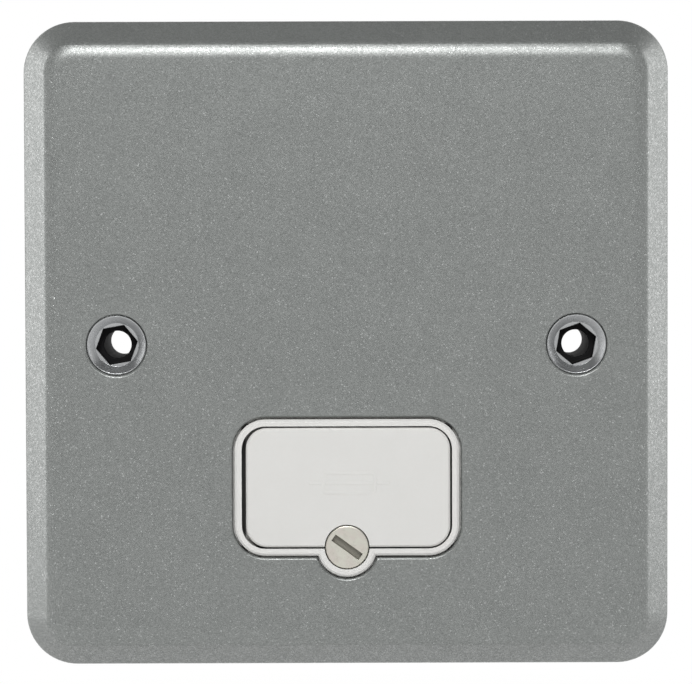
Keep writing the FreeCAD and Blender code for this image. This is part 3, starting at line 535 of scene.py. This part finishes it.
def pressed_plate():
    shape = bmesh.new()
    rings = []
    for point in section:
        width = PLATE_SIDE - 2 * point.x
        rings.append(ring(shape, rounded_outline(width, width, PLATE_CORNER - point.x), point.y))
    skin(shape, rings)
    holes = [rolled_hole(shape, window_outline, WINDOW_ROLL)]
    holes += [rolled_hole(shape, hole_outline(side), HOLE_ROLL) for side in (-1, 1)]
    flat_face(shape, rings[0], *(hole[0] for hole in holes))
    flat_face(shape, rings[-1], *(hole[-1] for hole in holes))
    return piece_from("pressed_plate", shape)


plate = stand_for(pressed_plate(), "front_plate")
print("the plate has", len(plate.data.polygons), "faces")

# %% [markdown]
# Each fixing cup is a plated eyelet: a bowl with a hexagon punched through its floor, held by a
# flange behind the plate. A ring of points can change from a circle to a hexagon when both are
# sampled at the same angles, so a cup is turned like a pot, with a polygon for a ring where the
# opening is. The wall of the bowl is straight and leans at about 45 degrees, so the outer side of
# each cup mirrors the lamp beyond the other side of the unit, as a bright crescent.

# %% Turned cups with a hexagon in them
ROUND = 60


def turned(name, place, profile, turn):
    """Rings of (level, radius, sides) about an axis along Y. A circle has 0 sides."""
    shape = bmesh.new()
    rings = []
    for level, radius, sides in profile:
        points = []
        for step in range(ROUND):
            angle = 2 * math.pi * step / ROUND
            reach = radius
            if sides:
                half = math.pi / sides
                reach *= math.cos(half) / math.cos(angle % (2 * half) - half)
            spot = angle + math.radians(turn)
            points.append((place[0] + reach * math.cos(spot), place[1] + reach * math.sin(spot)))
        rings.append(ring(shape, points, level))
    skin(shape, rings + rings[:1])
    return piece_from(name, shape)


HEX_FLAT = 2.4 * MM
HEX_CORNER = HEX_FLAT / math.cos(math.pi / 6)
CUP_FRONT = FACE - 0.1 * MM
CUP_BACK = FACE - SHEET - 0.5 * MM
CUP_FLOOR = FACE - 1.05 * MM
BOWL_LIP, BOWL_FOOT = 3.76 * MM, 2.85 * MM
LIP_ROLL, FOOT_ROLL, CUP_EDGE = 0.08 * MM, 0.04 * MM, 0.05 * MM
CUP_FOLD_STEPS = 5
FLANGE_RADIUS = 4.6 * MM
HEX_TURNS = {"left": (-1, 10.0), "right": (1, 20.0)}


def bowl():
    """The wall of the bowl with its two rolled corners, from the floor up to the rim."""
    floor = [Vector((HEX_CORNER, CUP_FLOOR)), Vector((BOWL_FOOT, CUP_FLOOR))]
    rim = [Vector((BOWL_LIP, CUP_FRONT)), Vector((CUP_RADIUS, CUP_FRONT))]
    wall = folded(floor + rim, (FOOT_ROLL, LIP_ROLL), CUP_FOLD_STEPS)
    return [(spot.y, spot.x, 0) for spot in wall[1:-1]]


for hand, (side, turn) in HEX_TURNS.items():
    cup_section = bowl() + [
        (CUP_FRONT, CUP_RADIUS - CUP_EDGE, 0),
        (CUP_FRONT - CUP_EDGE, CUP_RADIUS, 0),
        (FACE - SHEET, CUP_RADIUS, 0),
        (FACE - SHEET, FLANGE_RADIUS, 0),
        (CUP_BACK, FLANGE_RADIUS, 0),
        (CUP_BACK, HEX_CORNER, 6),
        (CUP_FLOOR - CUP_EDGE, HEX_CORNER, 6),
        (CUP_FLOOR, HEX_CORNER + CUP_EDGE, 6),
    ]
    cup = turned(f"{hand}_plated_cup", (side * FIXING_X, 0), cup_section, turn)
    stand_for(cup, f"{hand}_fixing_cup")
print("two cups, each with", len(cup.data.polygons), "faces")

# %% [markdown]
# Every real edge is a little round, and that roundness is what catches a highlight. For the
# pieces whose solids already have the right form, a copy is welded, its flat faces are joined,
# and a small bevel rounds what is left. It keeps the form and the size of the solid.

# %% Solids with their edges softened
WELD = 0.0005 * MM
FLAT = math.radians(0.5)
BEVEL_ABOVE = math.radians(30)
BEVEL_STEPS = 3


def softened(node, radius):
    """Show a copy of the solid with a small round on every sharp edge."""
    solid = nodes[node].data
    copy = bpy.data.meshes.new(node)
    copy.from_pydata([v.co for v in solid.vertices], [], [p.vertices[:] for p in solid.polygons])
    shape = bmesh.new()
    shape.from_mesh(copy)
    bpy.data.meshes.remove(copy)
    bmesh.ops.remove_doubles(shape, verts=shape.verts, dist=WELD)
    bmesh.ops.dissolve_limit(shape, angle_limit=FLAT, verts=shape.verts, edges=shape.edges)
    piece = piece_from(f"{node}_finished", shape)
    rounding = piece.modifiers.new("rounded_edges", "BEVEL")
    rounding.width = radius
    rounding.segments = BEVEL_STEPS
    rounding.limit_method = "ANGLE"
    rounding.angle_limit = BEVEL_ABOVE
    stand_for(piece, node)


SOFT_EDGES = {
    0.12 * MM: ["base_moulding", "fuse_carrier"],
    0.2 * MM: ["rear_cover", "left_fixing_bush", "right_fixing_bush"],
    0.08 * MM: [
        "plate_bosses", "screw_insert", "screw_retaining_ring", "left_fuse_jaw", "right_fuse_jaw"
    ],
    0.1 * MM: ["supply_live_link", "load_live_link", "neutral_link", "earth_strap"],
    0.45 * MM: ["left_fuse_cap", "right_fuse_cap"],
    0.15 * MM: [node for node in nodes if node.endswith("_terminal")],
}
for radius, held in SOFT_EDGES.items():
    for node in held:
        softened(node, radius)
print("softened", sum(map(len, SOFT_EDGES.values())), "pieces")

# %% [markdown]
# A machine screw is turned, threaded and then slotted, and the model goes the same way. Rings
# of points follow the head and the neck, and along the thread each ring's radius also depends
# on the angle, which winds the groove round the core. A box then cuts the slot, and only the
# edges of that cut are rounded, since a bevel on the whole mesh would blunt the thread.

# %% Slotted screws with a real thread
AROUND = 36
RINGS_PER_TURN = 8
THREAD_DEPTH = 0.61
SLOT_ROUND = 0.06 * MM
SLOT_EDGE = math.radians(60)


def screw_rings(profile, thread, way):
    """Depth and radii of each ring, from the top of the head to the tip."""
    rings = [(depth, [radius] * AROUND) for depth, radius in profile]
    start, end, crest, pitch = thread
    count = round((end - start) / pitch * RINGS_PER_TURN)
    for step in range(1, count):
        depth = start + (end - start) * step / count
        groove = THREAD_DEPTH * pitch * min(1, (depth - start) / pitch)
        phases = [(depth / pitch + way * i / AROUND) % 1 for i in range(AROUND)]
        rings.append((depth, [crest - groove * (1 - abs(2 * phase - 1)) for phase in phases]))
    return rings + [(end, [crest - THREAD_DEPTH * pitch] * AROUND)]


def slot_cutter(place, top, slot):
    """A box that reaches from above the head down to the floor of the slot."""
    length, width, depth, turn = slot
    shape = bmesh.new()
    bmesh.ops.create_cube(shape, size=1)
    sizes = Matrix.Diagonal((length, 2 * depth, width, 1))
    turned_by = Matrix.Rotation(-math.radians(turn), 4, "Y")
    shape.transform(Matrix.Translation((place[0], top, place[1])) @ turned_by @ sizes)
    return piece_from("cutter", shape)


def cut(piece, cutter):
    """Take the cutter's shape out of the piece, and throw the cutter away."""
    difference = piece.modifiers.new("slot", "BOOLEAN")
    difference.operation, difference.solver, difference.object = "DIFFERENCE", "EXACT", cutter
    result = piece.evaluated_get(bpy.context.evaluated_depsgraph_get())
    piece.data = bpy.data.meshes.new_from_object(result)
    piece.modifiers.clear()
    bpy.data.objects.remove(cutter)


def round_slot(piece, top):
    """Round the edges where the slot meets the flat top of the head."""
    shape = bmesh.new()
    shape.from_mesh(piece.data)
    rim = []
    for side in shape.edges:
        flat = all(abs(corner.co.y - top) < WELD for corner in side.verts)
        if flat and len(side.link_faces) == 2 and side.calc_face_angle() > SLOT_EDGE:
            rim.append(side)
    bmesh.ops.bevel(shape, geom=rim, offset=SLOT_ROUND, segments=2, affect="EDGES", profile=0.5)
    shape.to_mesh(piece.data)
    shape.free()


def slotted_screw(name, place, top, way, profile, thread, slot):
    """A screw along Y. Its head is at top, and way is 1 where the screw points to the rear.

    The thread is its start and end, the radius of its crest and its pitch. The slot is its
    length, width and depth, and its turn in degrees.
    """
    shape = bmesh.new()
    x, z = place
    angles = [2 * math.pi * i / AROUND for i in range(AROUND)]
    rings = []
    for depth, radii in screw_rings(profile, thread, way):
        points = [(x + r * math.cos(a), z + r * math.sin(a)) for r, a in zip(radii, angles)]
        rings.append(ring(shape, points, -(top + way * depth)))
    skin(shape, rings)
    shape.faces.new(rings[0])
    shape.faces.new(rings[-1])
    piece = piece_from(name, shape)
    cut(piece, slot_cutter(place, top, slot))
    round_slot(piece, top)
    return piece


def rounded_head(radius, height, edge, steps=4):
    """The outline of a cheese head, from the rounded edge of its top to its underside."""
    angles = [math.pi / 2 * step / steps for step in range(steps + 1)]
    corner = [(edge * (1 - math.cos(a)), radius - edge * (1 - math.sin(a))) for a in angles]
    return corner + [(height, radius)]


print("screws are turned in", AROUND, "steps")

# %% [markdown]
# Three kinds of screw hold the unit together. The carrier screw has a neck, and a groove for
# the ring that keeps it on the lid. The two base screws reach from the cover to the bosses of
# the plate, and are threaded only at the tip. Each terminal has a clamping screw of its own.

# %% The nine screws
HEAD_EDGE = 0.3 * MM
COARSE_PITCH, FINE_PITCH = 0.6 * MM, 0.5 * MM
CUT_SLOT = 0.9 * MM
CARRIER_HEAD, CARRIER_EDGE = 1.5 * MM, 0.2 * MM
CARRIER_NECK, CARRIER_GROOVE, CARRIER_THREAD = 1.25 * MM, 1.0 * MM, 1.5 * MM
CARRIER_SLOT = (4.35 * MM, 0.95 * MM, SLOT_DEPTH, -36)
RING_PLAY = 0.04 * MM
CLAMP_HEAD, CLAMP_THREAD = 1.6 * MM, 1.7 * MM
CLAMP_TURNS = (12, -35, 68, 5, -62, 40)
BASE_RADIUS, BASE_HEAD, BASE_SHANK = 2.75 * MM, 1.8 * MM, 1.5 * MM
BASE_SLOT, BASE_TURNS = 6 * MM, (25, -40)
BASE_PLACES = ((-20 * MM, 11 * MM), (20 * MM, -11 * MM))
THREADED_TIP = 5 * MM


def carrier_screw():
    low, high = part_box("carrier_screw")
    radius, length = (high.x - low.x) / 2, high.y - low.y
    ring_low, ring_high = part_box("screw_retaining_ring")
    start, end = ring_low.y - low.y - RING_PLAY, ring_high.y - low.y + RING_PLAY
    profile = rounded_head(radius, CARRIER_HEAD, CARRIER_EDGE)
    profile += [(CARRIER_HEAD, CARRIER_NECK), (start, CARRIER_NECK)]
    profile += [(start, CARRIER_GROOVE), (end, CARRIER_GROOVE), (end, CARRIER_THREAD)]
    thread = (end, length, CARRIER_THREAD, FINE_PITCH)
    place = (0, SCREW_Z)
    piece = slotted_screw("nickel_carrier_screw", place, low.y, 1, profile, thread, CARRIER_SLOT)
    stand_for(piece, "carrier_screw")


def terminal_screw(node, turn):
    low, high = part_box(node)
    place = ((low.x + high.x) / 2, (low.z + high.z) / 2)
    radius, length = (high.x - low.x) / 2, high.y - low.y
    profile = rounded_head(radius, CLAMP_HEAD, HEAD_EDGE) + [(CLAMP_HEAD, CLAMP_THREAD)]
    thread = (CLAMP_HEAD, length, CLAMP_THREAD, COARSE_PITCH)
    slot = (3 * radius, CUT_SLOT, CUT_SLOT, turn)
    piece = slotted_screw(f"{node}_threaded", place, high.y, -1, profile, thread, slot)
    stand_for(piece, node)


def joined(name, pieces):
    """One object from several."""
    shape = bmesh.new()
    for piece in pieces:
        shape.from_mesh(piece.data)
        bpy.data.objects.remove(piece)
    return piece_from(name, shape)


def base_screws():
    low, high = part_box("base_screws")
    length = high.y - low.y
    profile = rounded_head(BASE_RADIUS, BASE_HEAD, HEAD_EDGE)
    profile += [(BASE_HEAD, BASE_SHANK), (length - THREADED_TIP, BASE_SHANK)]
    thread = (length - THREADED_TIP, length, BASE_SHANK, FINE_PITCH)
    pair = []
    for place, turn in zip(BASE_PLACES, BASE_TURNS):
        slot = (BASE_SLOT, CUT_SLOT, CUT_SLOT, turn)
        pair.append(slotted_screw("base_screw", place, high.y, -1, profile, thread, slot))
    stand_for(joined("two_base_screws", pair), "base_screws")


carrier_screw()
base_screws()
clamps = [node for node in nodes if node.endswith("_screw") and node != "carrier_screw"]
for node, turn in zip(clamps, CLAMP_TURNS):
    terminal_screw(node, turn)
print("the carrier screw and", len(clamps), "terminal screws")

# %% [markdown]
# The lid carries a sign in very faint relief. This is the general sign for a fuse: a box with a
# line through it. It stands up by a twentieth of a millimetre, and its sides lean in, so that
# light from above draws its edges and nothing else.

# %% Raised sign on the lid
LID_FRONT = -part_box("fuse_carrier")[0].y
RELIEF, SUNK, LEAN = 0.05 * MM, 0.03 * MM, 0.05 * MM
STROKE = 0.45 * MM
SIGN_X, SIGN_Z = 0.3 * MM, -18.15 * MM
SIGN_LENGTH, BOX_LENGTH, BOX_HEIGHT = 10.6 * MM, 7.2 * MM, 3.0 * MM
BOX_CORNER = 0.6 * MM
BAR_STEPS, BOX_STEPS = 3, 6


def raised_bar(shape, x, length):
    """A low bar that lies along X."""
    rings = []
    for level, less in ((-SUNK, 0), (RELIEF, LEAN)):
        size = (length - 2 * less, STROKE - 2 * less)
        points = rounded_outline(*size, STROKE / 5, (x, SIGN_Z), BAR_STEPS)
        rings.append(ring(shape, points, LID_FRONT + level))
    skin(shape, rings)
    shape.faces.new(rings[0])
    shape.faces.new(rings[1])


def raised_box(shape):
    """A low frame, STROKE wide."""
    rings = []
    for level, less in ((-SUNK, 0), (RELIEF, LEAN), (RELIEF, STROKE - LEAN), (-SUNK, STROKE)):
        size = (BOX_LENGTH - 2 * less, BOX_HEIGHT - 2 * less)
        points = rounded_outline(*size, BOX_CORNER - less, (SIGN_X, SIGN_Z), BOX_STEPS)
        rings.append(ring(shape, points, LID_FRONT + level))
    skin(shape, rings + rings[:1])


sign = bmesh.new()
raised_box(sign)
lead = (SIGN_LENGTH - BOX_LENGTH) / 2
for x, length in ((-1, lead), (0, BOX_LENGTH - 2 * STROKE), (1, lead)):
    raised_bar(sign, SIGN_X + x * (BOX_LENGTH + lead) / 2, length)
dressed(piece_from("fuse_sign", sign), "fuse_carrier")
print("the sign stands", RELIEF / MM, "mm above the lid")

# %% [markdown]
# The unit stands in a small white tent, above a pale floor. The camera sees the tent as plain
# white, and shiny parts mirror it: white round the unit, dim overhead and behind the camera. The
# light that falls on things comes from the lamps instead, so the white doesn't flood them. The
# floor glows too, so only a faint shadow shows on it, and none beyond 25 cm from the middle.

# %% Floor, surroundings and lamps
CENTRE = Vector((0, -FACE, 0))
FLOOR_Z = -75 * MM
FLOOR_REACH = 60.0
FLOOR_GLOW = 0.88
GLOW_RISE = (0.12, 0.25)
FLOOR_GREY = (0.9, 0.9, 0.9, 1)


def mirrored(wiring):
    """1 where a shiny part or a window looks, and 0 for any other light."""
    glossy = wiring.node("ShaderNodeLightPath", output="Is Glossy Ray")
    return glossy + wiring.node("ShaderNodeLightPath", output="Is Transmission Ray")


def pale_floor():
    """A floor that glows a little less than white near the unit, and white further off."""
    shape = bmesh.new()
    corners = ((-1, -1), (1, -1), (1, 1), (-1, 1))
    shape.faces.new([shape.verts.new((i * FLOOR_REACH, j * FLOOR_REACH, FLOOR_Z)) for i, j in corners])
    floor = piece_from("floor", shape)
    material = bpy.data.materials.new("pale_floor")
    ground = Wiring(material)
    place = ground.node("ShaderNodeTexCoord", output="Object")
    away = ground.node("ShaderNodeVectorMath", {"operation": "LENGTH"}, {0: place}, "Value")
    glow = FLOOR_GLOW + (1 - FLOOR_GLOW) * ground.between(away, *GLOW_RISE)
    seen = ground.node("ShaderNodeLightPath", output="Is Camera Ray") + mirrored(ground)
    paint = ground.node("ShaderNodeBsdfDiffuse", None, {"Color": FLOOR_GREY})
    white = ground.node("ShaderNodeEmission")
    mixed = ground.node("ShaderNodeMixShader", None, {"Fac": seen * glow, 1: paint, 2: white})
    ground.feed(ground.tree.nodes["Material Output"].inputs["Surface"], mixed)
    floor.data.materials.append(material)
    floor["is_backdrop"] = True


def white_tent(ambient, overhead, front):
    """White round the unit, and the given greys overhead and in front of it."""
    world = bpy.data.worlds.new("white_tent")
    bpy.context.scene.world = world
    tent = Wiring(world)
    way = tent.node("ShaderNodeTexCoord", output="Generated")
    along = tent.node("ShaderNodeSeparateXYZ", None, {0: way}, "Y")
    up = tent.node("ShaderNodeSeparateXYZ", None, {0: way}, "Z")
    walls = tent.mix(tent.between(0 - along, 0.2, 0.8), (1.0, 1.0, 1.0), (front,) * 3)
    cloth = tent.mix(tent.between(up, 0.3, 0.8), walls, (overhead,) * 3)
    lit = tent.mix(mirrored(tent), (ambient,) * 3, cloth)
    camera_ray = tent.node("ShaderNodeLightPath", output="Is Camera Ray")
    shown = tent.mix(camera_ray, lit, (1.0, 1.0, 1.0))
    tent.feed(tent.tree.nodes["Background"].inputs["Color"], shown)


def soft_lamp(name, place, size, power):
    """A rectangular lamp that faces the unit."""
    lamp = bpy.data.lights.new(name, "AREA")
    lamp.shape = "RECTANGLE"
    lamp.size, lamp.size_y = size
    lamp.energy = power
    holder = bpy.data.objects.new(name, lamp)
    holder.location = place
    holder.rotation_euler = (CENTRE - Vector(place)).to_track_quat("-Z", "Y").to_euler()
    bpy.context.scene.collection.objects.link(holder)


pale_floor()
white_tent(ambient=0.235, overhead=0.15, front=0.2)
soft_lamp("left_softbox", (-0.48, 0.06, 0.12), (0.25, 0.4), 0.76)
soft_lamp("right_softbox", (0.48, 0.08, 0.12), (0.25, 0.4), 0.62)
soft_lamp("top_strip", (-0.03, -0.44, 0.37), (0.14, 0.05), 1.12)
soft_lamp("upper_fill", (-0.03, -0.55, 0.30), (0.4, 0.1), 1.12)
print("floor, surroundings and 4 lamps")

# %% [markdown]
# The photograph was taken from about 45 cm, a touch above the middle of the plate: the plate's
# sides lean together slightly towards the bottom. A camera at that distance, with a lens that
# makes a millimetre of the face as many pixels as there, gives the same lean.

# %% Camera
PICTURE_WIDTH = 692
PIXELS_PER_MM = 7.634
SENSOR = 36.0
DISTANCE = 0.45
PITCH = math.radians(2.27)
ROLL = math.radians(-0.17)
DRIFT, DROP = 0.5, 2.6

view = bpy.data.cameras.new("camera")
view.sensor_width = SENSOR
view.lens = PIXELS_PER_MM * DISTANCE / MM * SENSOR / PICTURE_WIDTH
view.shift_x, view.shift_y = -DRIFT / PICTURE_WIDTH, DROP / PICTURE_WIDTH
camera = bpy.data.objects.new("camera", view)
bpy.context.scene.collection.objects.link(camera)
camera.location = CENTRE + DISTANCE * Vector((0, -math.cos(PITCH), math.sin(PITCH)))
camera.rotation_euler = Euler((math.pi / 2 - PITCH, 0, 0))
camera.rotation_euler.rotate_axis("Z", ROLL)
bpy.context.scene.camera = camera
bpy.context.scene.view_settings.view_transform = "Standard"
print("lens", round(view.lens, 1), "mm at", DISTANCE, "m")

# %% [markdown]
# The model on show must stay the size of the unit, so the sizes of both boxes are printed.

# %% Print both sizes
seen_low, seen_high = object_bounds()
for label, size in (("cad", cad_high - cad_low), ("scene", seen_high - seen_low)):
    print(label, [round(side / MM, 2) for side in size], "mm")
